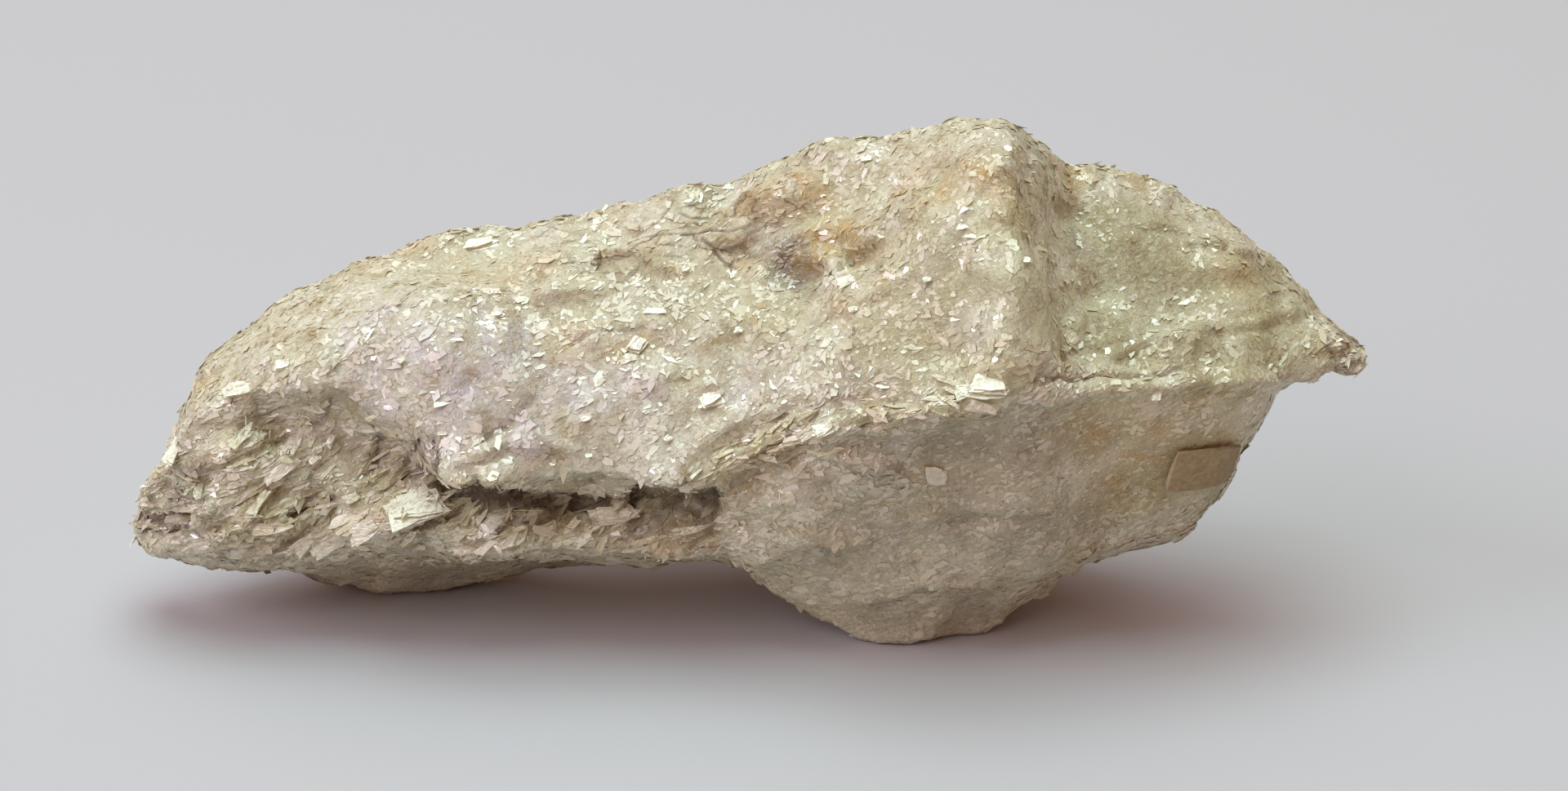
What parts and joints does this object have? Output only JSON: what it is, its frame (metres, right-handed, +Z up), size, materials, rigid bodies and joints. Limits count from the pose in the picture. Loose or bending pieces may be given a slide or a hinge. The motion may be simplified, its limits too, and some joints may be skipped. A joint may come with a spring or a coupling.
{
  "type": "mica crystal specimen",
  "caption": "Palm-sized lump of matted muscovite mica with a broken, ledged front, an upright ridge and a small blank paper label.",
  "frame": {"origin": "on the resting surface, at the centre of the stone's outline from above", "axes": "+X along the stone towards its narrow tip, -Y its broken ledged front, +Z up as it rests"},
  "size_m": [0.0998, 0.033, 0.0416],
  "materials": {
    "muscovite_mica": "matted scaly muscovite, pearly where a flake faces the light, cream to olive with brown iron stain",
    "aged_paper": "blank tan paper, matt and browned with age"
  },
  "bodies": {
    "root": {"mica_crystal": "muscovite_mica", "paper_label": "aged_paper"}
  },
  "joints": []
}
